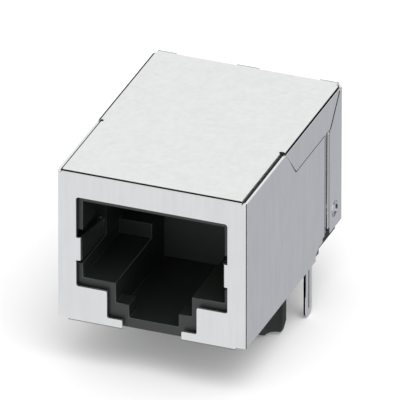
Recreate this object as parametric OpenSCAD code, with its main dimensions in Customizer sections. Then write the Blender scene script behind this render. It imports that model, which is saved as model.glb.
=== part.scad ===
// Shielded right-angle RJ45 board jack, tab down, with through-hole tails.
// Millimetres. +X is to the right of someone who faces the plug opening, +Y runs from the
// opening to the back and +Z is up from the board. The origin lies on the board, halfway
// between the two locating pegs. Modules work from the front face (y = 0 there), and
// from_front() moves the finished piece to the origin.

/* [Shield] */
// Width across the shield's side walls
shield_w = 16; // [15.9:0.05:16.4]
// Height of the shield's top above the board
shield_h = 13.4; // [13.25:0.05:13.8]
// Depth from the front face to the back of the rear panel
shield_d = 21.6; // [21.5:0.05:21.8]
// Thickness of the shield's sheet
sheet = 0.2; // [0.18:0.01:0.22]
// Outer radius of the sheet's bends
bend_r = 0.3; // [0.25:0.01:0.35]
// Height of the side walls' lower edge above the board
wall_lift = 0.2; // [0.1:0.05:0.3]
// Where the top plate's side flaps begin, from the front face
top_flap_y = 8.9; // [8:0.1:10]
// Height of the top plate's side flaps' lower edge above the board
top_flap_z = 10.6; // [10:0.1:11.4]
// Where the rear panel's side flaps begin, from the front face
rear_flap_y = 18.67; // [18.5:0.01:19]
// Height of the rear panel's lower edge above the board
rear_z = 1.15; // [0.9:0.05:1.4]

/* [Plug opening] */
// Width of the shield's opening at the plug's body
opening_w = 12.8; // [12.6:0.02:12.9]
// Height of the opening's upper edge above the board
opening_top = 11.12; // [11:0.01:11.2]
// Height of the opening's ledges above the board
opening_ledge = 3.12; // [3.05:0.01:3.4]
// Width of the shield's latch slot
latch_slot_w = 7.6; // [7.2:0.05:7.8]
// Width of the narrow stretch at the foot of the latch slot
latch_foot_w = 5.02; // [4.8:0.02:5.1]
// Height of that narrow stretch
latch_foot_h = 0.75; // [0.7:0.05:0.9]

/* [Ground springs] */
// Distance between the two springs at their roots
spring_gap = 11.96; // [11.9:0.02:12.02]
// How far each spring leans towards the plug at its tip
spring_lean = 0.24; // [0.1:0.02:0.24]
// Reach of each spring behind the front face
spring_reach = 4.9; // [4:0.1:5.2]
// Height of the springs' middle above the board
spring_z = 6.46; // [6.3:0.02:6.6]
// Width of a spring at its root
spring_w = 2.04; // [1.8:0.02:2.1]

/* [Housing] */
// Width of the plug cavity
cavity_w = 12; // [11.9:0.05:12.1]
// Height of the plug cavity's ledges above the board
cavity_floor = 3.75; // [3.6:0.05:3.8]
// Height of the plug cavity's ceiling above the board
cavity_top = 10.6; // [10.5:0.05:10.7]
// Depth of the plug cavity's back wall
cavity_d = 11.1; // [11:0.05:11.3]
// Width of the latch channel
channel_w = 6.44; // [6.3:0.02:6.5]
// Gap between the two lock blocks that hold the plug's latch
lock_gap = 4.2; // [4.1:0.05:4.3]
// Height of the latch channel's floor above the board
channel_floor = 0.85; // [0.75:0.05:0.9]
// Height of the lock blocks above the board
lock_z = 2; // [1.9:0.05:2.1]
// Depth of the stop blocks on the ledges
stop_y = 8.45; // [8.3:0.05:8.7]
// Height of the stop blocks above the board
stop_z = 5; // [4.8:0.05:5.2]

/* [Board pins] */
// Distance between the two locating pegs
peg_pitch = 11.43; // [11.43:0.01:11.44]
// Depth of the pegs' axes behind the front face
peg_setback = 10.5; // [10.4:0.05:10.6]
// Radius over a peg's four ribs
peg_r = 1.6; // [1.55:0.01:1.65]
// Length of a peg below the board's upper face
peg_length = 3.65; // [3.2:0.05:3.7]
// Length of the shield's legs and the contact tails below the board's upper face
pin_length = 3.95; // [3.7:0.05:4]
// Width of a shield leg
leg_w = 1.35; // [1.2:0.05:1.4]
// Depth of the legs' middle behind the front face
leg_y = 14.02; // [13.9:0.02:14.2]

/* [Contacts] */
// Number of contacts
contact_count = 8; // [8:1:8]
// Spacing of the contacts in the plug cavity
cavity_pitch = 1.02; // [1.016:0.002:1.02]
// Spacing of the contacts' tails across the board
tail_pitch = 1.27; // [1.27:0.01:1.27]
// Distance from the pegs back to the first row of tails
tail_row = 6.35; // [6.35:0.01:6.36]
// Distance between the two rows of tails
row_gap = 2.54; // [2.54:0.01:2.55]
// Width of a contact
contact_w = 0.44; // [0.4:0.02:0.46]
// Thickness of a contact
contact_t = 0.3; // [0.25:0.01:0.32]
// Slope of the contact springs in the cavity, in degrees
contact_slope = 20; // [18:1:21]

/* [Hidden] */
$fn = 48;
arc_steps = 6;               // chords in a rounded corner of an outline
through = 1;                 // overrun of a cut past the face it opens
steel = [0.82, 0.83, 0.84];
black_plastic = [0.13, 0.13, 0.14];
gold = [0.86, 0.71, 0.36];

half_w = shield_w / 2;
inside_w = half_w - sheet;   // the shield's inner faces
inside_top = shield_h - sheet;
inner_r = bend_r - sheet;

// Shield details
apron_w = 14.2;              // front plate below the corner bends' lower ends
plate_front_w = 15.16;        // top plate ahead of its flaps
relief_x = 7.6;              // round notch where a top flap begins
relief_r = 0.18;
step_y = 15.55;              // side wall's lower edge steps up here, then slopes
step_z = 0.65;
step_slope = 0.75;
wall_rear_low = 1.1;         // wall's lower edge behind the step
wall_end_low = 1.47;         // and from wall_end_y on
wall_end_y = 17.1;
soft_r = 0.35;               // rounding of the flaps' corners
seam = 0.08;                 // gap round the flaps
flap_slant = 2.2;            // run of a top flap's sloping front edge
mitre_y = 21.14;             // rear flap's sloping edge ends here, at the top
mitre_z = 10.2;              // rear flap's sloping edge starts here
mitre_gap = 0.3;             // between that edge and the top flap, along the depth
layer_gap = 0.03;            // between a rear flap and the wall behind it
joggle_y = 17.55;            // side wall steps inwards from here
joggle_run = 1.05;           // length of that step
wall_end = 20.85;
web_w = 1.8;                 // bridge in the middle of the rear bend
side_web_x = 6.15;           // outer bridges of the rear bend start here
rear_slot = 0.35;            // depth of the slots between the bridges
latch_hole_r = 0.68;         // hole in a rear flap that snaps over the wall's dimple
latch_hole_y = 19.82;
latch_hole_z = 2.84;
dimple_r = 0.52;
dimple_rise = 0.17;
spring_curl = 0.5;           // length of a ground spring's turned tip
spring_taper_low = 0.14;     // narrowing towards the tip, below and above
spring_taper_high = 0.45;
leg_root = 0.2;              // a leg's overlap with the wall above it
crease_w = 0.18;             // groove pressed along a leg
crease_depth = 0.07;

// Housing details
fit = 0.02;                  // clearance round the insert
front_y = sheet;             // the housing's front face lies on the front plate
body_x = inside_w;
body_step_y = 17.5;          // housing narrows here, ahead of the wall's inward step
rear_body_x = half_w - 2 * sheet - layer_gap;
body_edge = 0.15;            // chamfer on the housing's outer edges
foot_edge = 0.3;             // larger chamfer under its sides
base_end = 16.8;             // the housing's lower step
base_middle_end = 16;        // its base stops here, ahead of the tails
rear_floor = 0.65;
flange_end = 20.5;           // housing's rim under the inset walls
gap_edge = 0.25;             // chamfer under the gaps beside the top plate
body_end = 21.3;
pocket_top = 12.35;          // ceiling above the insert's tongue
lip_y = 1.1;                 // front lip ahead of the tongue
rim_setback = 0.25;          // front face set back round the shield's opening
rim_margin = 0.35;           // width of that setback beyond the opening's edges
lock_back = 2;
spring_slot_x = 6.75;        // slots in the side walls that take the ground springs
spring_slot_end = 5.6;
spring_slot_low = 5;
spring_slot_high = 8;
scallop_centre = 1.25;       // hollows between a peg's ribs
scallop_r = 0.86;
peg_taper = 0.2;             // tip's chamfer, inwards and upwards
peg_taper_h = 0.8;

// Contact details
wire_top = 11.6;             // upper face of the contacts' level stretch
turn_y = 2.4;                // centre of the turn at the front
turn_r = 0.65;
spring_length = 7.6;
fan_start = 11.6;
fan_end = 15.4;
tail_bend_r = 0.5;
tail_tip = 0.35;             // length of the tapered tip
tail_tip_half = 0.06;
slot_w = 0.6;
slot_y = 1.4;                // slots for the springs start here
comb_y = 8.7;
comb_z = 7.7;
comb_w = 8.8;

// ---- outlines ----

function unit(v) = v / norm(v);

// Points of the arc that rounds corner b, between its neighbours a and c
function corner_arc(a, b, c, r) =
    let(
        to_a = unit(a - b),
        to_c = unit(c - b),
        half = acos(to_a * to_c) / 2,
        centre = b + unit(to_a + to_c) * r / sin(half),
        first = b + to_a * r / tan(half) - centre,
        last = b + to_c * r / tan(half) - centre,
        start = atan2(first[1], first[0]),
        turn = (atan2(last[1], last[0]) - start + 540) % 360 - 180
    )
    [for (i = [0:arc_steps])
        let(angle = start + turn * i / arc_steps)
        centre + r * [cos(angle), sin(angle)]];

// An outline whose corners are given as [across, up, radius]
function rounded(corners) =
    let(count = len(corners), flat = [for (p = corners) [p[0], p[1]]])
    [for (i = [0:count - 1])
        each corners[i][2] == 0
            ? [flat[i]]
            : corner_arc(flat[(i + count - 1) % count], flat[i], flat[(i + 1) % count],
                         corners[i][2])];

module from_front() {
    translate([0, -peg_setback, 0]) children();
}

module both_sides() {
    children();
    mirror([1, 0, 0]) children();
}

// A flat outline in y and z, made thick towards +X from x
module across(x, thickness) {
    translate([x, 0, 0]) rotate([90, 0, 90]) linear_extrude(thickness) children();
}

// A flat outline in x and z, made thick towards +Y from y
module backwards(y, thickness) {
    translate([0, y + thickness, 0]) rotate([90, 0, 0]) linear_extrude(thickness) children();
}

module box(low, high) {
    translate(low) cube(high - low);
}

// Quarter of a ring about the origin, between the +x and +y directions
module quarter_ring(outer, inner) {
    intersection() {
        difference() {
            circle(outer);
            circle(inner);
        }
        square(outer);
    }
}

// ---- shield ----

// The opening in the front plate, widened all round by a margin
module opening_outline(margin = 0) {
    body = opening_w / 2 + margin;
    slot = latch_slot_w / 2 + margin;
    foot = latch_foot_w / 2 + margin;
    top = opening_top + margin;
    ledge = opening_ledge - margin;
    foot_h = latch_foot_h - margin;
    right = [[foot, -through, 0], [foot, foot_h, 0.1], [slot, foot_h, 0.15],
             [slot, ledge, 0.15], [body, ledge, 0.2], [body, top, 0.25]];
    left = [for (i = [len(right) - 1:-1:0]) [-right[i][0], right[i][1], right[i][2]]];
    polygon(rounded(concat(right, left)));
}

module front_plate() {
    difference() {
        union() {
            box([bend_r - half_w, 0, wall_lift], [half_w - bend_r, sheet, inside_top]);
            box([-apron_w / 2, 0, 0], [apron_w / 2, sheet, wall_lift + through]);
        }
        backwards(-through, sheet + 2 * through) opening_outline();
        both_sides()
            box([plate_front_w / 2, -through, shield_h - bend_r],
                [half_w, sheet + through, shield_h]);
    }
}

// Strip that leans towards the plug, in x and y, with its tip turned outwards
module spring_plan() {
    root = spring_gap / 2;
    tip = root - spring_lean;
    plate_x = opening_w / 2 + sheet;
    curl_x = tip + spring_curl;
    polygon(rounded([
        [plate_x, 0, 0], [root, 0, bend_r], [tip, spring_reach, bend_r],
        [curl_x, spring_reach, 0], [curl_x, spring_reach - sheet, 0],
        [tip + sheet, spring_reach - sheet, inner_r], [root + sheet, sheet, inner_r],
        [plate_x, sheet, 0]]));
}

module ground_spring() {
    low = spring_z - spring_w / 2;
    high = spring_z + spring_w / 2;
    intersection() {
        translate([0, 0, low]) linear_extrude(spring_w) spring_plan();
        across(0, half_w)
            polygon([[0, low], [bend_r, low], [spring_reach, low + spring_taper_low],
                     [spring_reach, high - spring_taper_high], [bend_r, high], [0, high]]);
    }
}

// Side wall outline, from the corner bend to the start of the inward step
module wall_outline() {
    polygon(rounded([
        [bend_r, wall_lift, 0], [step_y, wall_lift, seam], [step_y, step_z, relief_r],
        [step_y + step_slope, wall_rear_low, soft_r], [wall_end_y, wall_rear_low, 0],
        [wall_end_y, wall_end_low, 0], [joggle_y, wall_end_low, 0],
        [joggle_y, top_flap_z - seam, 0],
        [top_flap_y + flap_slant - seam, top_flap_z - seam, soft_r],
        [top_flap_y - seam, inside_top, 0], [bend_r, inside_top, 0]]));
}

module leg() {
    centre_z = leg_w / 2 - pin_length;
    height = wall_lift + leg_root - centre_z;
    difference() {
        across(inside_w, sheet) {
            translate([leg_y, centre_z]) circle(leg_w / 2);
            translate([leg_y - leg_w / 2, centre_z]) square([leg_w, height]);
        }
        translate([half_w, leg_y, centre_z]) linear_extrude(height)
            polygon([[-crease_depth, 0], [crease_depth, -crease_w], [crease_depth, crease_w]]);
    }
}

// The wall's rear stretch, set in by one sheet so that the rear flap lies over it
module stepped_wall() {
    outer = half_w - sheet - layer_gap;
    corner_y = joggle_y + joggle_run;
    low = wall_end_low;
    difference() {
        union() {
            translate([0, 0, low]) linear_extrude(top_flap_z - seam - low)
                polygon([[half_w, joggle_y], [outer, corner_y], [outer, wall_end],
                         [outer - sheet, wall_end], [outer - sheet, corner_y],
                         [inside_w, joggle_y], [inside_w, joggle_y - sheet],
                         [half_w, joggle_y - sheet]]);
            dimple(outer, dimple_r);
        }
        dimple(outer - sheet, dimple_r - sheet / 2);
    }
}

// Button pressed outwards from a wall face at x
module dimple(x, radius) {
    translate([x, latch_hole_y, latch_hole_z]) rotate([0, 90, 0]) {
        translate([0, 0, -sheet / 2]) cylinder(r = radius, h = sheet / 2);
        cylinder(r1 = radius, r2 = radius - dimple_rise, h = dimple_rise);
    }
}

module side_wall() {
    across(inside_w, sheet) wall_outline();
    translate([half_w - bend_r, bend_r, wall_lift]) rotate(-90)
        linear_extrude(inside_top - wall_lift) quarter_ring(bend_r, inner_r);
    stepped_wall();
    leg();
}

// Rise of the mitre between the rear flap and the top flap, for each unit of depth
function mitre_slope() = (shield_h - bend_r - mitre_z) / (mitre_y - rear_flap_y);

module top_flap() {
    end_low = rear_flap_y + (top_flap_z - mitre_z) / mitre_slope() - mitre_gap;
    end_high = mitre_y - mitre_gap;
    across(inside_w, sheet)
        polygon(rounded([
            [top_flap_y, shield_h - bend_r, 0], [top_flap_y + flap_slant, top_flap_z, soft_r],
            [end_low, top_flap_z, bend_r], [end_high, shield_h - bend_r, 0]]));
    translate([half_w - bend_r, end_high, shield_h - bend_r]) rotate([90, 0, 0])
        linear_extrude(end_high - top_flap_y) quarter_ring(bend_r, inner_r);
}

module top_plate() {
    front_x = plate_front_w / 2;
    flap_x = half_w - bend_r;
    edge_y = shield_d - bend_r;
    difference() {
        union() {
            box([-front_x, bend_r, inside_top], [front_x, top_flap_y, shield_h]);
            box([-flap_x, top_flap_y, inside_top], [flap_x, edge_y, shield_h]);
        }
        both_sides() translate([relief_x, top_flap_y - relief_r, inside_top - sheet])
            cylinder(r = relief_r, h = 3 * sheet);
    }
    translate([-front_x, bend_r, shield_h - bend_r]) rotate([90, 0, 90]) rotate(90)
        linear_extrude(plate_front_w) quarter_ring(bend_r, inner_r);
    translate([-flap_x, edge_y, shield_h - bend_r]) rotate([90, 0, 90])
        linear_extrude(2 * flap_x) quarter_ring(bend_r, inner_r);
}

module rear_flap() {
    edge_y = shield_d - bend_r;
    difference() {
        across(inside_w, sheet)
            polygon(rounded([
                [rear_flap_y, rear_z, 0.1], [edge_y, rear_z, 0], [edge_y, shield_h - bend_r, 0],
                [mitre_y, shield_h - bend_r, 0], [rear_flap_y, mitre_z, 0.1]]));
        translate([inside_w - through, latch_hole_y, latch_hole_z]) rotate([0, 90, 0])
            cylinder(r = latch_hole_r, h = sheet + 2 * through);
    }
    translate([half_w - bend_r, edge_y, rear_z])
        linear_extrude(shield_h - bend_r - rear_z) quarter_ring(bend_r, inner_r);
}

module rear_panel() {
    box([bend_r - half_w, shield_d - sheet, rear_z],
        [half_w - bend_r, shield_d, shield_h - bend_r]);
}

// Slots through the rear bend, which leave three bridges
module rear_slots() {
    both_sides()
        box([web_w / 2, shield_d - rear_slot, inside_top - bend_r],
            [side_web_x, shield_d + through, shield_h + through]);
}

module shield() {
    color(steel) difference() {
        union() {
            front_plate();
            top_plate();
            rear_panel();
            both_sides() {
                ground_spring();
                side_wall();
                top_flap();
                rear_flap();
            }
        }
        rear_slots();
    }
}

// ---- housing ----

module peg() {
    intersection() {
        union() {
            translate([0, 0, -peg_length])
                cylinder(r1 = peg_r - peg_taper, r2 = peg_r, h = peg_taper_h);
            translate([0, 0, peg_taper_h - peg_length])
                cylinder(r = peg_r, h = peg_length - peg_taper_h);
        }
        translate([0, 0, -peg_length]) linear_extrude(peg_length)
            difference() {
                square(2 * peg_r, center = true);
                for (quarter = [0:3])
                    rotate(90 * quarter) translate([scallop_centre, scallop_centre])
                        circle(scallop_r);
            }
    }
}

// Outer form, with bevelled front corners
module housing_block() {
    plan = [[front_y, -body_x + body_edge], [front_y, body_x - body_edge],
            [front_y + body_edge, body_x], [body_step_y, body_x],
            [body_step_y, rear_body_x], [body_end, rear_body_x]];
    right = [for (p = plan) if (p[1] > 0) [p[1], p[0]]];
    left = [for (i = [len(right) - 1:-1:0]) [-right[i][0], right[i][1]]];
    both_sides()
        box([rear_body_x - through, body_step_y, rear_floor],
            [body_x, flange_end, wall_end_low - seam]);
    intersection() {
        linear_extrude(inside_top) polygon(concat(right, left));
        across(-half_w, shield_w)
            polygon([[front_y, body_edge], [front_y + body_edge, 0], [base_end, 0],
                     [base_end, rear_floor], [body_end, rear_floor],
                     [body_end, inside_top - body_edge], [body_end - body_edge, inside_top],
                     [front_y + body_edge, inside_top], [front_y, inside_top - body_edge]]);
        backwards(0, shield_d)
            polygon([[-body_x + foot_edge, 0], [body_x - foot_edge, 0], [body_x, foot_edge],
                     [body_x, inside_top - gap_edge], [body_x - gap_edge, inside_top],
                     [gap_edge - body_x, inside_top], [-body_x, inside_top - gap_edge],
                     [-body_x, foot_edge]]);
    }
}

module plug_cavity() {
    side = cavity_w / 2;
    channel = channel_w / 2;
    lock = lock_gap / 2;
    box([-side, -through, cavity_floor], [side, stop_y, cavity_top]);
    box([-side, 0, stop_z], [side, cavity_d, cavity_top]);
    box([-channel, lock_back, channel_floor], [channel, cavity_d, cavity_top]);
    box([-channel, -through, lock_z], [channel, lock_back + through, cavity_top]);
    box([-lock, -through, channel_floor], [lock, lock_back + through, cavity_top]);
}

module insert_pocket() {
    side = cavity_w / 2;
    box([-side, cavity_d, rear_floor], [side, body_end + through, pocket_top]);
    box([-side, base_middle_end, -through], [side, body_end + through, pocket_top]);
    box([-side, lip_y, cavity_top - fit], [side, cavity_d + through, pocket_top]);
}

module housing() {
    color(black_plastic) {
        difference() {
            housing_block();
            backwards(-through, through + front_y + rim_setback) opening_outline(rim_margin);
            plug_cavity();
            insert_pocket();
            both_sides()
                box([cavity_w / 2 - fit, -through, spring_slot_low],
                    [spring_slot_x, spring_slot_end, spring_slot_high]);
        }
        both_sides() translate([peg_pitch / 2, peg_setback, 0]) peg();
    }
}

// ---- contacts ----

function cavity_x(index) = (index - (contact_count - 1) / 2) * cavity_pitch;
function tail_x(index) = (index - (contact_count - 1) / 2) * tail_pitch;
function tail_y(index) = peg_setback + tail_row + (index % 2) * row_gap;

// Front turn and the sloping spring, in y and z
module spring_profile() {
    centre_z = wire_top - turn_r;
    sweep_end = 270 - contact_slope;
    reach = 2 * turn_r;
    translate([turn_y, centre_z]) {
        intersection() {
            difference() {
                circle(turn_r);
                circle(turn_r - contact_t);
            }
            polygon([[0, 0], [0, reach], [-reach, reach], [-reach, -reach],
                     reach * [cos(sweep_end), sin(sweep_end)]]);
        }
        rotate(-contact_slope) translate([0, -turn_r]) square([spring_length, contact_t]);
    }
}

// Bend at the back and the tail, in y and z
module tail_profile(y) {
    back = y + contact_t / 2;
    front = y - contact_t / 2;
    translate([back - tail_bend_r, wire_top - tail_bend_r])
        quarter_ring(tail_bend_r, tail_bend_r - contact_t);
    polygon([[front, wire_top - tail_bend_r], [front, tail_tip - pin_length],
             [y - tail_tip_half, -pin_length], [y + tail_tip_half, -pin_length],
             [back, tail_tip - pin_length], [back, wire_top - tail_bend_r]]);
}

// Level stretch, which spreads from the cavity's pitch to the tails' pitch
module fan_plan(index) {
    front_x = cavity_x(index);
    back_x = tail_x(index);
    back_y = tail_y(index) + contact_t / 2 - tail_bend_r;
    centre = [[front_x, turn_y], [front_x, fan_start], [back_x, fan_end], [back_x, back_y]];
    side = [contact_w / 2, 0];
    right = [for (p = centre) p + side];
    left = [for (i = [len(centre) - 1:-1:0]) centre[i] - side];
    polygon(concat(right, left));
}

module contact_solid(index) {
    across(cavity_x(index) - contact_w / 2, contact_w) spring_profile();
    translate([0, 0, wire_top - contact_t]) linear_extrude(contact_t) fan_plan(index);
    across(tail_x(index) - contact_w / 2, contact_w) tail_profile(tail_y(index));
}

module contact(index) {
    color(gold) contact_solid(index);
}

// ---- insert that carries the contacts ----

module insert_body() {
    side = cavity_w / 2 - fit;
    back = body_end - fit;
    box([-side, cavity_d, rear_floor + fit], [side, back, pocket_top - fit]);
    box([-side, lip_y + fit, cavity_top], [side, cavity_d + fit, pocket_top - fit]);
    box([-comb_w / 2, comb_y, comb_z], [comb_w / 2, cavity_d + fit, cavity_top + fit]);
}

module contact_insert() {
    color(black_plastic) difference() {
        insert_body();
        for (index = [0:contact_count - 1]) {
            contact_solid(index);
            box([cavity_x(index) - slot_w / 2, slot_y, comb_z - through],
                [cavity_x(index) + slot_w / 2, cavity_d - fit, wire_top]);
        }
    }
}

from_front() shield();
from_front() housing();
from_front() contact_insert();
from_front() contact(0);  // contact_1
from_front() contact(1);  // contact_2
from_front() contact(2);  // contact_3
from_front() contact(3);  // contact_4
from_front() contact(4);  // contact_5
from_front() contact(5);  // contact_6
from_front() contact(6);  // contact_7
from_front() contact(7);  // contact_8
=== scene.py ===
"""Shielded right-angle board jack: finishes, softened edges, studio and camera."""

import math
from collections import namedtuple

import bmesh
import bpy
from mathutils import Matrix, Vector


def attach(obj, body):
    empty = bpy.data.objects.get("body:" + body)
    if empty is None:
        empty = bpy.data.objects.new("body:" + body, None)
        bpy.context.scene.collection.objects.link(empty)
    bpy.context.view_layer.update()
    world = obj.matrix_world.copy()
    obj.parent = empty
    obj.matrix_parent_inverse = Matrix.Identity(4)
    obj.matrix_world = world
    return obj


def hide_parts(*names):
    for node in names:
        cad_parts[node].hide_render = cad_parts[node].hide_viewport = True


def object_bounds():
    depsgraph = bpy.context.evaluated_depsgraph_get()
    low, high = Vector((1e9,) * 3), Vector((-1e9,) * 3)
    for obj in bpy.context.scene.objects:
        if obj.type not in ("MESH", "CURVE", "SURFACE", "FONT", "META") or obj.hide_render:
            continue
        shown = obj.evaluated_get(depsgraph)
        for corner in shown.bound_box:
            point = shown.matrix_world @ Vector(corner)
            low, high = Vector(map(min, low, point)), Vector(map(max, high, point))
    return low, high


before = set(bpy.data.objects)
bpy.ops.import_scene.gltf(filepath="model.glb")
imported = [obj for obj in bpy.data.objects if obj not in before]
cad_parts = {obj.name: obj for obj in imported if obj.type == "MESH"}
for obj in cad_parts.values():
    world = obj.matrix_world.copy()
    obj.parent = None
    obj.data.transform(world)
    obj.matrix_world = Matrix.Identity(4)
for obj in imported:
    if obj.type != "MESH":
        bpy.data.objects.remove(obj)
CAD_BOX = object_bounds()

bl_info = {
    "name": "Board Jack",
    "version": (1, 0, 0),
    "blender": (4, 5, 0),
    "location": "3D View > Sidebar > Jack",
    "description": "Dresses a shielded board jack and sets up its studio",
    "category": "Object",
}

MM = 0.001
BODY = "root"
LOW, HIGH = (Vector(corner) for corner in CAD_BOX)
CONTACTS = sorted(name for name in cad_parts
                  if name.startswith("contact_") and name != "contact_insert")


# ---- shader maths ----

# Sockets of Blender's Mix node in its colour mode
MIX_FACTOR, MIX_A, MIX_B, MIX_RESULT = 0, 6, 7, 2

# How squarely a rounded normal meets the plain one on a flat face and on a worn edge
FLAT_FACE, WORN_EDGE = 0.98, 0.75


class Value:
    """A shader socket, wrapped so that sums on it can be written as sums."""

    def __init__(self, finish, socket):
        self.finish = finish
        self.socket = socket

    def __add__(self, other):
        return self.finish.maths("ADD", self, other)

    def __radd__(self, other):
        return self.finish.maths("ADD", other, self)

    def __sub__(self, other):
        return self.finish.maths("SUBTRACT", self, other)

    def __rsub__(self, other):
        return self.finish.maths("SUBTRACT", other, self)

    def __mul__(self, other):
        return self.finish.maths("MULTIPLY", self, other)

    def __rmul__(self, other):
        return self.finish.maths("MULTIPLY", other, self)


class Finish:
    """The nodes of one material or of the world."""

    def __init__(self, owner):
        owner.use_nodes = True
        self.tree = owner.node_tree
        self.tree.nodes.clear()

    def node(self, kind, settings=None, inputs=None, output=0):
        """Adds a node, sets it up, then gives its sockets their values or links."""
        made = self.tree.nodes.new(kind)
        for key, value in (settings or {}).items():
            setattr(made, key, value)
        for key, value in (inputs or {}).items():
            if isinstance(value, Value):
                self.tree.links.new(value.socket, made.inputs[key])
            else:
                made.inputs[key].default_value = value
        return Value(self, made.outputs[output]) if made.outputs else None

    def maths(self, operation, *terms):
        """The result of a Math node on values or numbers."""
        return self.node("ShaderNodeMath", {"operation": operation}, dict(enumerate(terms)))

    def part(self, vector, axis):
        """One coordinate of a vector."""
        return self.node("ShaderNodeSeparateXYZ", inputs={0: vector}, output="XYZ".index(axis))

    def span(self, value, start, end, at_start=0, at_end=1):
        """Eases from at_start to at_end as a value goes from start up or down to end."""
        return self.node("ShaderNodeMapRange", {"interpolation_type": "SMOOTHSTEP"}, {
            "Value": value, "From Min": start, "From Max": end, "To Min": at_start, "To Max": at_end})

    def between(self, value, low, high, soft):
        """1 from low to high, easing to 0 over a soft stretch outside them."""
        return self.span(value, low - soft, low) * self.span(value, high + soft, high)

    def mix(self, factor, first, second):
        """One colour that turns into another."""
        return self.node("ShaderNodeMix", {"data_type": "RGBA"},
                         {MIX_FACTOR: factor, MIX_A: first, MIX_B: second}, MIX_RESULT)

    def place(self):
        """Where a point is on the piece, in metres."""
        return self.node("ShaderNodeTexCoord", output="Object")

    def noise(self, size, detail=3, roughness=0.5):
        """Noise from 0 to 1 with features of about this size along each axis, in millimetres."""
        scale = [1 / (length * MM) for length in size]
        place = self.node("ShaderNodeMapping", inputs={"Vector": self.place(), "Scale": scale})
        return self.node("ShaderNodeTexNoise", inputs={
            "Vector": place, "Scale": 1, "Detail": detail, "Roughness": roughness})

    def away(self, plane):
        """How far a point lies inside a plane of the jack's box or above the board, in metres."""
        axis = {"side": "X", "front": "Y", "back": "Y", "top": "Z", "board": "Z"}[plane]
        along = self.part(self.place(), axis)
        if plane == "side":
            return HIGH.x - self.maths("ABSOLUTE", along)
        if plane == "front":
            return along - LOW.y
        if plane == "back":
            return HIGH.y - along
        if plane == "top":
            return HIGH.z - along
        return along

    def region(self, *limits):
        """1 inside a region and 0 outside it. The note above the regions explains the limits."""
        return math.prod(self.span(self.away(plane), ended * MM, whole * MM)
                         for plane, ended, whole in limits)

    def square_to(self, axis):
        """How squarely a face looks along an axis, either way, from 0 to 1."""
        normal = self.node("ShaderNodeNewGeometry", output="True Normal")
        return self.maths("ABSOLUTE", self.part(normal, axis))

    def worn(self, radius):
        """1 along edges that lie within this many millimetres, 0 on flat faces."""
        rounded = self.node("ShaderNodeBevel", {"samples": 6}, {"Radius": radius * MM})
        plain = self.node("ShaderNodeNewGeometry", output="True Normal")
        along = self.node("ShaderNodeVectorMath", {"operation": "DOT_PRODUCT"},
                          {0: rounded, 1: plain}, "Value")
        return self.span(along, FLAT_FACE, WORN_EDGE)

    def bump(self, height, depth):
        """The normal of a surface with this relief, whose full height is depth millimetres."""
        return self.node("ShaderNodeBump", inputs={
            "Height": height, "Distance": depth * MM, "Strength": 1})

    def surface(self, **inputs):
        """Ends a material in a Principled shader with these inputs."""
        shader = self.node("ShaderNodeBsdfPrincipled", inputs={
            key.replace("_", " "): value for key, value in inputs.items()})
        self.node("ShaderNodeOutputMaterial", inputs={"Surface": shader})


def rgba(colour, share=1.0):
    """A colour with an alpha, darkened or lightened to a share of itself."""
    return (*(channel * share for channel in colour), 1)


# ---- finishes ----

# Sizes of the finishes' patterns along X, Y and Z, in millimetres
STREAKS = (0.45, 0.45, 5)
MOTTLE = (1.6, 1.6, 2.2)
SHEET_GRAIN = (0.1, 0.1, 0.6)
MOULD_FLOW = (3, 5, 3)
MOULD_GRAIN = (0.09, 0.09, 0.09)
DRAWN_LINES = (0.06, 0.8, 0.06)

# Full height of the finishes' relief, in millimetres
SHEET_RELIEF = 0.0006
MOULD_RELIEF = 0.002
DRAWN_RELIEF = 0.001

# How far wear reaches in from an edge, in millimetres
SHEET_WEAR = 0.05
MOULD_WEAR = 0.09

# Regions with a finish of their own, some of it painted shade: the wall's steps and the legs' creases
# are painted dark as shade, and the mouldings below the board and on the outer sides are rougher and
# painted darker as shade. Each limit names a plane and gives two distances from it, in millimetres:
# where the region has ended, and where it is whole. Distances run inwards from the sides, front,
# back and top of the jack's box, and upwards from the board
LEG_CREASE_SHADE_REGION = (("side", 0.03, 0.06), ("board", 0.1, 0))
WALL_STEP_SHADE_REGION = (("back", 3.95, 3.8), ("back", 3.1, 3.15), ("side", 0, 0.01), ("top", 3.2, 3.4))
GROUND_SPRINGS = (("front", 0.3, 0.5), ("front", 11.5, 10.5), ("side", 1.6, 1.8), ("top", 1.4, 2.4))
ROUND_OPENING = (("front", 0.3, 0.26), ("side", 0.4, 0.5), ("top", 0.4, 0.5))
BESIDE_PLATE = (("front", 8.9, 8.8), ("side", 0.26, 0.3), ("top", 0.4, 0.3))
BELOW_BOARD = (("board", 0.2, -0.2),)
OUTER_SIDES = (("side", 0.7, 0.6),)
GILDED = (("board", 1.5, 2.5),)

# How squarely a cut face looks forwards or sideways: where it has ended and where it is whole
NOT_FORWARDS = (0.6, 0.3)
SIDEWAYS = (0.5, 0.8)

# Plating: the mottle's share of its tone and the noise that spans the tone, then shares of its
# colour, among them the painted shade on the wall's steps and in the legs' creases, how much of it
# wears off an edge, and what is added to its roughness
MOTTLE_SHARE = 0.4
TONE_RANGE = (0.3, 0.7)
DULL_STREAK, BRIGHT_STREAK = 0.955, 1.005
WORN_PLATING = 0.9
# Painted shade: the slope of each wall's step is darkened to this share of the plating
STEP_PAINTED_SHADE = 0.45
# Painted shade: the legs' creases and inner faces are darkened to this share of the plating
CREASE_PAINTED_SHADE = 0.01
WEAR_SHARE = 0.25
STREAK_ROUGHNESS = 0.04
WORN_ROUGHNESS = 0.06
SPRING_ROUGHNESS = 0.16
CUT_ROUGHNESS = 0.35

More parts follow.
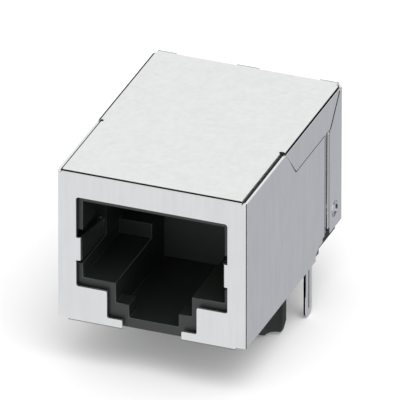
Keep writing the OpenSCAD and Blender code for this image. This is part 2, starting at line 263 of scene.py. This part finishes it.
# Mouldings: shares of their colour, among them painted light that makes the insert lighter than the
# housing, painted shade on the pegs and the outer sides, and edges lightened partly by wear and
# partly as a painted highlight; then what is added to their roughness
HOUSING_TONE, INSERT_PAINTED_LIGHT = 1, 2.4
DARK_FLOW, LIGHT_FLOW = 0.85, 1.1
SKIN_PAINTED_SHADE = 0.7
WORN_AND_LIT_SKIN = 8
GRAIN_ROUGHNESS = 0.1
POLISH = -0.1
DULL_ROUGHNESS = 0.35

# Contacts: the shade in their drawn lines and its share, then what is added to their roughness
DRAWN_SHADE = (0.1, 0.09, 0.08)
DRAWN_SHARE = 0.2
DRAWN_ROUGHNESS = 0.12


def plated_steel(look):
    """Satin plating with upright streaks, worn edges, rougher cut edges, and painted shade on the
    wall's steps and in the legs' creases.
    """
    material = bpy.data.materials.new("plated_steel")
    finish = Finish(material)
    streaks = finish.noise(STREAKS, detail=4, roughness=0.6)
    mottle = finish.noise(MOTTLE)
    tone = finish.span((1 - MOTTLE_SHARE) * streaks + MOTTLE_SHARE * mottle, *TONE_RANGE)
    grain = finish.noise(SHEET_GRAIN, detail=2)
    worn = finish.worn(SHEET_WEAR)
    cuts = (finish.region(*ROUND_OPENING) * finish.span(finish.square_to("Y"), *NOT_FORWARDS)
            + finish.region(*BESIDE_PLATE) * finish.span(finish.square_to("X"), *SIDEWAYS))
    plating = finish.mix(tone, rgba(look.colour, DULL_STREAK), rgba(look.colour, BRIGHT_STREAK))
    plating = finish.mix(WEAR_SHARE * worn, plating, rgba(look.colour, WORN_PLATING))
    # Painted shade: the slope of the wall's step is darkened as if it lay in shade
    plating = finish.mix(finish.region(*WALL_STEP_SHADE_REGION), plating, rgba(look.colour, STEP_PAINTED_SHADE))
    # Painted shade: the legs' creases and inner faces are darkened nearly to black
    plating = finish.mix(finish.region(*LEG_CREASE_SHADE_REGION), plating, rgba(look.colour, CREASE_PAINTED_SHADE))
    rougher = (STREAK_ROUGHNESS * (1 - tone) + WORN_ROUGHNESS * worn
               + SPRING_ROUGHNESS * finish.region(*GROUND_SPRINGS) + CUT_ROUGHNESS * cuts)
    finish.surface(
        Base_Color=plating,
        Metallic=1,
        Roughness=look.roughness + rougher,
        Normal=finish.bump(grain, SHEET_RELIEF))
    return material


def moulded_plastic(name, look, tone):
    """Black plastic with a fine mould grain, edges lightened partly by wear and partly as a painted
    highlight, and rougher on the pegs and the outer sides, which are painted darker as shade.
    """
    material = bpy.data.materials.new(name)
    finish = Finish(material)
    flow = finish.noise(MOULD_FLOW)
    grain = finish.noise(MOULD_GRAIN, roughness=0.6)
    worn = finish.worn(MOULD_WEAR)
    dull_and_shaded = finish.maths("MAXIMUM", finish.region(*BELOW_BOARD), finish.region(*OUTER_SIDES))
    skin = finish.mix(flow, rgba(look.colour, DARK_FLOW * tone), rgba(look.colour, LIGHT_FLOW * tone))
    # Painted shade: darker on the pegs below the board and on the outer sides, where they are also
    # rougher
    skin = finish.mix(dull_and_shaded, skin, rgba(look.colour, SKIN_PAINTED_SHADE))
    rougher = GRAIN_ROUGHNESS * (grain - 0.5) + POLISH * worn + DULL_ROUGHNESS * dull_and_shaded
    finish.surface(
        # Edges lightened, partly wear and partly a painted highlight
        Base_Color=finish.mix(worn * (1 - dull_and_shaded), skin, rgba(look.colour, WORN_AND_LIT_SKIN)),
        Roughness=look.roughness + rougher,
        Specular_IOR_Level=look.sheen,
        Normal=finish.bump(grain, MOULD_RELIEF))
    return material


def contact_metal(look):
    """Drawn wire, gilded inside the jack and tinned at the tails."""
    material = bpy.data.materials.new("contact_metal")
    finish = Finish(material)
    drawn = finish.noise(DRAWN_LINES)
    colour = finish.mix(finish.region(*GILDED), rgba(look.tin), rgba(look.gold))
    finish.surface(
        Base_Color=finish.mix(DRAWN_SHARE * drawn, colour, rgba(DRAWN_SHADE)),
        Metallic=1,
        Roughness=look.roughness + DRAWN_ROUGHNESS * drawn,
        Normal=finish.bump(drawn, DRAWN_RELIEF))
    return material


# ---- pieces ----

SAME_POINT = 0.0002 * MM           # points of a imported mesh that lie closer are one
SAME_PLANE = math.radians(0.5)     # faces between which an edge turns by less are one
CORNER = math.radians(50)          # an outer edge that turns by more is rounded
FOLD = math.radians(20)            # a long outer edge that turns by less is a soft fold
CREASE = math.radians(11)          # any other edge that turns by more stays crisp
FOLD_LENGTH = 5 * MM
FOLD_WIDTH = 0.1 * MM
FOLD_STEPS = 4
CORNER_STEPS = 2


def round_edges(shape, edges, width, steps):
    """Rounds edges of a shape by a width, in a number of steps."""
    bmesh.ops.bevel(shape, geom=edges, offset=width, offset_type="OFFSET", affect="EDGES",
                    segments=steps, profile=0.5, material=-1, clamp_overlap=True)


def soften(shape, rounding):
    """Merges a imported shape's triangles, eases its long folds and rounds its corners."""
    bmesh.ops.remove_doubles(shape, verts=shape.verts, dist=SAME_POINT)
    bmesh.ops.dissolve_limit(shape, angle_limit=SAME_PLANE, verts=shape.verts, edges=shape.edges)
    folds = [edge for edge in shape.edges if edge.is_convex
             and edge.calc_length() > FOLD_LENGTH and CREASE < edge.calc_face_angle() < FOLD]
    if folds:
        round_edges(shape, folds, FOLD_WIDTH, FOLD_STEPS)
    corners = [edge for edge in shape.edges if edge.is_convex and edge.calc_face_angle() > CORNER]
    for edge in shape.edges:
        edge.smooth = edge.calc_face_angle() < CREASE
    round_edges(shape, corners, rounding, CORNER_STEPS)
    for face in shape.faces:
        face.smooth = True


def softened_copy(node_name, piece_name, rounding, material):
    """A softened copy of a CAD node that stands for the node."""
    shape = bmesh.new()
    shape.from_mesh(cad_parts[node_name].data)
    soften(shape, rounding)
    mesh = bpy.data.meshes.new(piece_name)
    shape.to_mesh(mesh)
    shape.free()
    mesh.materials.append(material)
    piece = bpy.data.objects.new(piece_name, mesh)
    bpy.context.scene.collection.objects.link(piece)
    weighted = piece.modifiers.new("even_shading", "WEIGHTED_NORMAL")
    weighted.keep_sharp = True
    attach(piece, BODY)
    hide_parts(node_name)
    return piece


# ---- studio ----

# Dark flags that only what shines can see, so that bends show. Their sides are in degrees from the
# back towards the right, low and high are in degrees above level, soft is how many degrees an edge
# takes to fade, and light is the share of light that a flag leaves
Flag = namedtuple("Flag", "left right low high soft light")
FLAGS = (
    Flag(left=-180, right=-95, low=28, high=70, soft=3, light=0.0),     # bend above the opening
    Flag(left=140, right=180, low=28, high=70, soft=3, light=0.0),      # the same, past the front
    Flag(left=-42, right=-16, low=-36, high=20, soft=3, light=0.0),     # left upper bend
    Flag(left=-15, right=12, low=-40, high=-6, soft=4, light=0.17),     # step in the right wall
    Flag(left=14, right=60, low=-60, high=-20, soft=5, light=0.61),     # right wall
    Flag(left=15, right=60, low=-7, high=24, soft=4, light=0.0),        # right upper bend
    Flag(left=74, right=104, low=-60, high=-12, soft=4, light=0.0),     # right front bend
)

# For what shines, the world is as bright as the floor up to the first angle above level, and as
# bright as the room from the second
FLOOR_FADE = (math.radians(-10), math.radians(6))
# The world is tinted up to the first angle above level, and white from the second
TINT_FADE = (math.radians(-28), 0)
# The side tint reaches to the first angle from the back, and the front tint starts at the second
FRONT_FADE = (math.radians(60), math.radians(120))
WHITE = (1, 1, 1, 1)

# The floor's half width in metres, its tone, and the share of white that lifts it for the camera
FLOOR_HALF = 3
FLOOR_TONE = 0.86
FLOOR_GLOW = 0.14

# The lamp's place and width, in metres
LAMP_PLACE = (0.12, -0.12, 0.36)
LAMP_SIZE = 0.3

# The camera's sensor, in millimetres
SENSOR_WIDTH = 36


def studio_world(look):
    """Plain and bright for the camera and for diffuse light, with dark flags for what shines."""
    world = bpy.data.worlds.new("studio")
    bpy.context.scene.world = world
    finish = Finish(world)
    camera_ray = finish.node("ShaderNodeLightPath", output="Is Camera Ray")
    glossy_ray = finish.node("ShaderNodeLightPath", output="Is Glossy Ray")
    direction = finish.node("ShaderNodeTexCoord", output="Generated")
    turn = finish.maths("ARCTAN2", finish.part(direction, "X"), finish.part(direction, "Y"))
    rise = finish.maths("ARCSINE", finish.part(direction, "Z"))

    shine = finish.span(rise, *FLOOR_FADE, look.floor_shine, 1)
    for flag in FLAGS:
        left, right, low, high, soft = (math.radians(angle) for angle in flag[:-1])
        shade = finish.between(turn, left, right, soft) * finish.between(rise, low, high, soft)
        shine = (1 - shade * (1 - flag.light)) * shine
    strength = camera_ray + (1 - camera_ray) * (glossy_ray * shine + (1 - glossy_ray) * look.ambient)

    in_front = finish.span(finish.maths("ABSOLUTE", turn), *FRONT_FADE)
    low_tint = finish.mix(in_front, rgba(look.side_tint), rgba(look.front_tint))
    tint = finish.mix(finish.span(rise, *TINT_FADE), low_tint, WHITE)
    background = finish.node("ShaderNodeBackground", inputs={"Color": tint, "Strength": strength})
    finish.node("ShaderNodeOutputWorld", inputs={"Surface": background})


def pale_floor():
    """Pale paper, a little lifted for the camera."""
    material = bpy.data.materials.new("pale_floor")
    finish = Finish(material)
    camera_ray = finish.node("ShaderNodeLightPath", output="Is Camera Ray")
    paper = finish.node("ShaderNodeBsdfDiffuse", inputs={"Color": rgba((FLOOR_TONE,) * 3)})
    glow = finish.node("ShaderNodeEmission", inputs={"Color": WHITE, "Strength": 1})
    both = finish.node("ShaderNodeMixShader", inputs={0: camera_ray * FLOOR_GLOW, 1: paper, 2: glow})
    finish.node("ShaderNodeOutputMaterial", inputs={"Surface": both})
    return material


def lit_floor(height):
    """The floor, at this height, which what shines doesn't see."""
    shape = bmesh.new()
    bmesh.ops.create_grid(shape, x_segments=1, y_segments=1, size=FLOOR_HALF)
    bmesh.ops.translate(shape, vec=(0, 0, height), verts=shape.verts)
    mesh = bpy.data.meshes.new("floor")
    shape.to_mesh(mesh)
    shape.free()
    mesh.materials.append(pale_floor())
    floor = bpy.data.objects.new("floor", mesh)
    bpy.context.scene.collection.objects.link(floor)
    floor.visible_glossy = False
    return floor


def key_lamp(look):
    """A broad soft lamp above the front right, aimed at the origin."""
    lamp = bpy.data.lights.new("key", "AREA")
    lamp.energy = look.key
    lamp.size = LAMP_SIZE
    key = bpy.data.objects.new("key", lamp)
    key.location = LAMP_PLACE
    key.rotation_euler = Vector(LAMP_PLACE).to_track_quat("Z", "Y").to_euler()
    key.visible_glossy = False
    bpy.context.scene.collection.objects.link(key)


def long_lens(look):
    """The camera, which looks down at the jack from its front right."""
    camera = bpy.data.cameras.new("camera")
    camera.sensor_width = SENSOR_WIDTH
    camera.lens = look.lens
    holder = bpy.data.objects.new("camera", camera)
    away = Vector((math.sin(look.azimuth) * math.cos(look.elevation),
                   -math.cos(look.azimuth) * math.cos(look.elevation),
                   math.sin(look.elevation)))
    holder.location = Vector(look.aim) + look.distance * away
    holder.rotation_euler = (math.pi / 2 - look.elevation, 0, look.azimuth)
    bpy.context.scene.collection.objects.link(holder)
    bpy.context.scene.camera = holder


# ---- settings ----

class ShieldLook(bpy.types.PropertyGroup):
    edge: bpy.props.FloatProperty(
        name="Edge", description="Rounding of the sheet's cut edges",
        default=0.06 * MM, unit="LENGTH")
    colour: bpy.props.FloatVectorProperty(
        name="Plating", description="Colour of the plating",
        default=(0.815, 0.825, 0.823), size=3, subtype="COLOR")
    roughness: bpy.props.FloatProperty(
        name="Roughness", description="How satin the plating is",
        default=0.12, subtype="FACTOR")


class PlasticLook(bpy.types.PropertyGroup):
    edge: bpy.props.FloatProperty(
        name="Edge", description="Rounding of the mouldings' edges",
        default=0.05 * MM, unit="LENGTH")
    colour: bpy.props.FloatVectorProperty(
        name="Plastic", description="Colour of the mouldings",
        default=(0.0108, 0.0152, 0.0138), size=3, subtype="COLOR")
    sheen: bpy.props.FloatProperty(
        name="Sheen", description="How strongly the mouldings reflect",
        default=0.75, subtype="FACTOR")
    roughness: bpy.props.FloatProperty(
        name="Roughness", description="How matt the mouldings are",
        default=0.45, subtype="FACTOR")


class ContactLook(bpy.types.PropertyGroup):
    edge: bpy.props.FloatProperty(
        name="Edge", description="Rounding of the contacts' edges",
        default=0.02 * MM, unit="LENGTH")
    gold: bpy.props.FloatVectorProperty(
        name="Gold", description="Colour of the springs' plating",
        default=(0.85, 0.6, 0.25), size=3, subtype="COLOR")
    tin: bpy.props.FloatVectorProperty(
        name="Tin", description="Colour of the tails' plating",
        default=(0.72, 0.72, 0.73), size=3, subtype="COLOR")
    roughness: bpy.props.FloatProperty(
        name="Roughness", description="How satin the contacts are",
        default=0.22, subtype="FACTOR")


class StudioLook(bpy.types.PropertyGroup):
    azimuth: bpy.props.FloatProperty(
        name="Azimuth", description="How far the camera stands to the right of the front",
        default=math.radians(20.97), subtype="ANGLE")
    elevation: bpy.props.FloatProperty(
        name="Elevation", description="How far the camera looks down",
        default=math.radians(28.485), subtype="ANGLE")
    distance: bpy.props.FloatProperty(
        name="Distance", description="From the camera to the point that it looks at",
        default=1.38, unit="LENGTH")
    aim: bpy.props.FloatVectorProperty(
        name="Aim", description="The point that the camera looks at",
        default=(-0.02 * MM, 0.221 * MM, 6.66 * MM), size=3, subtype="TRANSLATION", unit="LENGTH")
    lens: bpy.props.FloatProperty(
        name="Lens", description="Focal length for a 36 mm sensor, in millimetres",
        default=1564)
    ambient: bpy.props.FloatProperty(
        name="Ambient", description="Strength of the light from all round", default=1.0)
    floor_shine: bpy.props.FloatProperty(
        name="Floor shine", description="How bright the floor seems to what shines",
        default=0.87, subtype="FACTOR")
    front_tint: bpy.props.FloatVectorProperty(
        name="Front tint", description="Tint of the world below level, in front",
        default=(0.99, 0.995, 1.015), size=3, subtype="COLOR", soft_max=2)
    side_tint: bpy.props.FloatVectorProperty(
        name="Side tint", description="Tint of the world below level, at the sides and behind",
        default=(0.97, 0.98, 1.045), size=3, subtype="COLOR", soft_max=2)
    key: bpy.props.FloatProperty(
        name="Key", description="Power of the soft lamp above the front right",
        default=0.8, unit="POWER")


# ---- operators ----

class JACK_OT_shield(bpy.types.Operator):
    """Dresses the formed shield in satin plating"""
    bl_idname = "jack.shield"
    bl_label = "Shield"

    def execute(self, context):
        look = context.scene.jack_shield
        softened_copy("shield", "shield_formed", look.edge, plated_steel(look))
        return {"FINISHED"}


class JACK_OT_mouldings(bpy.types.Operator):
    """Dresses the housing and the contact insert in black plastic"""
    bl_idname = "jack.mouldings"
    bl_label = "Mouldings"

    def execute(self, context):
        look = context.scene.jack_plastic
        softened_copy("housing", "housing_moulded", look.edge,
                      moulded_plastic("housing_plastic", look, HOUSING_TONE))
        # The insert is the same plastic painted lighter: painted light for the deep cavity
        softened_copy("contact_insert", "insert_moulded", look.edge,
                      moulded_plastic("insert_plastic", look, INSERT_PAINTED_LIGHT))
        return {"FINISHED"}


class JACK_OT_contacts(bpy.types.Operator):
    """Dresses the contacts, gold where they touch the plug and tinned at their tails"""
    bl_idname = "jack.contacts"
    bl_label = "Contacts"

    def execute(self, context):
        look = context.scene.jack_contacts
        metal = contact_metal(look)
        for name in CONTACTS:
            softened_copy(name, name.replace("contact", "spring"), look.edge, metal)
        return {"FINISHED"}


class JACK_OT_studio(bpy.types.Operator):
    """Sets up the floor, the light and the camera"""
    bl_idname = "jack.studio"
    bl_label = "Studio"

    def execute(self, context):
        look = context.scene.jack_studio
        context.scene.view_settings.view_transform = "Standard"
        lit_floor(LOW.z)
        studio_world(look)
        key_lamp(look)
        long_lens(look)
        return {"FINISHED"}


class JACK_PT_sidebar(bpy.types.Panel):
    """Lists the jack's steps"""
    bl_label = "Board Jack"
    bl_space_type = "VIEW_3D"
    bl_region_type = "UI"
    bl_category = "Jack"

    def draw(self, context):
        for step in STEPS:
            self.layout.operator(step.bl_idname)


STEPS = (JACK_OT_shield, JACK_OT_mouldings, JACK_OT_contacts, JACK_OT_studio)
SETTINGS = {"jack_shield": ShieldLook, "jack_plastic": PlasticLook,
            "jack_contacts": ContactLook, "jack_studio": StudioLook}
CLASSES = (*SETTINGS.values(), *STEPS, JACK_PT_sidebar)


def register():
    for each in CLASSES:
        bpy.utils.register_class(each)
    for name, group in SETTINGS.items():
        setattr(bpy.types.Scene, name, bpy.props.PointerProperty(type=group))


def unregister():
    for name in SETTINGS:
        delattr(bpy.types.Scene, name)
    for each in reversed(CLASSES):
        bpy.utils.unregister_class(each)


def main():
    register()
    bpy.ops.jack.shield()
    bpy.ops.jack.mouldings()
    bpy.ops.jack.contacts()
    bpy.ops.jack.studio()


if __name__ == "__main__":
    main()
